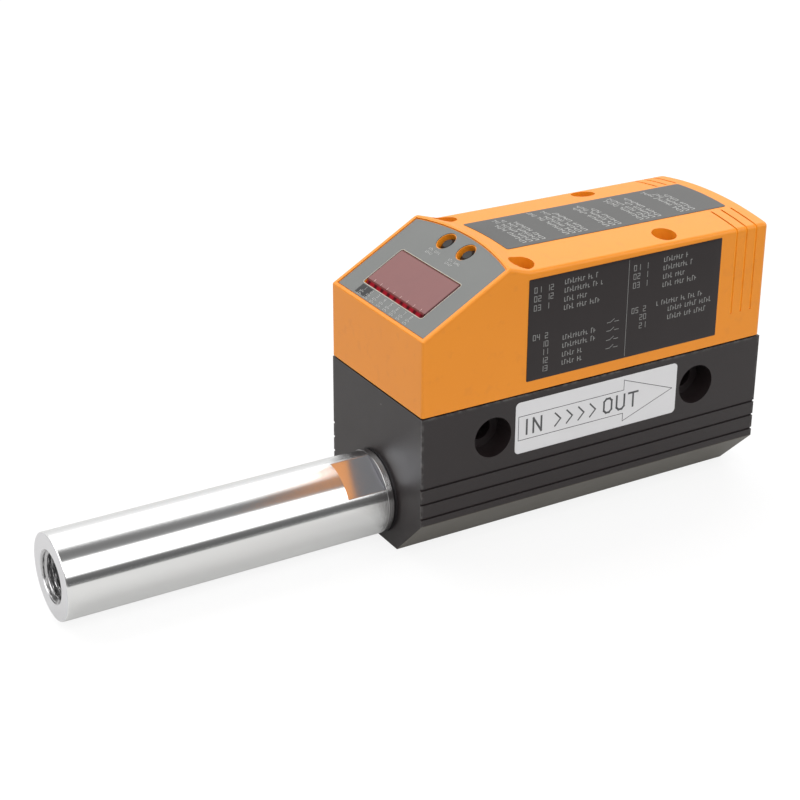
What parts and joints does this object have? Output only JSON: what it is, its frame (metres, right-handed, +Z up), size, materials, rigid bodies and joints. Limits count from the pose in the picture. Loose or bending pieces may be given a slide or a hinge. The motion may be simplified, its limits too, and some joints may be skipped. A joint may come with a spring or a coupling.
{
  "type": "compressed air flow meter",
  "caption": "Inline thermal air flow meter: steel measuring pipe through a black base block, orange cap with slanted display, setting buttons, threaded ports and a round plug connector.",
  "frame": {"origin": "middle of the base block's flat foot", "axes": "+X along the pipe in the flow direction, +Y across, +Z up; metres"},
  "size_m": [0.2045, 0.0451, 0.0771],
  "materials": {
    "black_anodised": "black anodised, satin",
    "polished_steel": "turned and polished",
    "orange_moulding": "smooth moulded",
    "grey_film": "satin printed film",
    "red_lens": "polished transparent",
    "black_rubber": "matt",
    "sensor_plastic": "machined",
    "bright_steel": "bright",
    "screw_steel": "plain",
    "circuit_board": "lacquered",
    "flat_lead": "satin",
    "display_black": "moulded",
    "led_clear": "clear moulded",
    "button_grey": "moulded",
    "switch_black": "moulded",
    "nickel_brass": "nickel plated",
    "insert_black": "moulded",
    "gold_pins": "gold plated",
    "charcoal_label": "satin printed film",
    "grey_label": "satin printed film",
    "pale_plate": "satin printed film"
  },
  "bodies": {
    "housing": {"base_block": "black_anodised", "measuring_pipe": "polished_steel", "housing_cap": "orange_moulding", "front_film": "grey_film", "display_window": "red_lens", "pipe_seals": "black_rubber", "sensor_seal": "black_rubber", "base_gasket": "black_rubber", "connector_seal": "black_rubber", "sensor_carrier": "sensor_plastic", "heated_probe": "bright_steel", "reference_probe": "bright_steel", "mode_dome": "bright_steel", "set_dome": "bright_steel", "cap_screws": "screw_steel", "board_screws": "screw_steel", "display_screws": "screw_steel", "carrier_screws": "screw_steel", "sensor_board": "circuit_board", "main_board": "circuit_board", "display_board": "circuit_board", "sensor_lead": "flat_lead", "display_lead": "flat_lead", "display_module": "display_black", "indicator_leds": "led_clear", "mode_switch": "switch_black", "set_switch": "switch_black", "connector_shell": "nickel_brass", "connector_nut": "nickel_brass", "connector_insert": "insert_black", "connector_pins": "gold_pins", "side_label": "charcoal_label", "top_label": "grey_label", "flow_plate": "pale_plate"},
    "mode_key": {"mode_button": "button_grey"},
    "set_key": {"set_button": "button_grey"}
  },
  "joints": [
    {"name": "mode_press", "type": "slide", "parent": "housing", "child": "mode_key", "axis": [0.4924, 0, -0.8704], "range_m": [0, 0.0004], "stiffness_N_per_m": 4000, "deforming": ["mode_dome"]},
    {"name": "set_press", "type": "slide", "parent": "housing", "child": "set_key", "axis": [0.4924, 0, -0.8704], "range_m": [0, 0.0004], "stiffness_N_per_m": 4000, "deforming": ["set_dome"]}
  ]
}
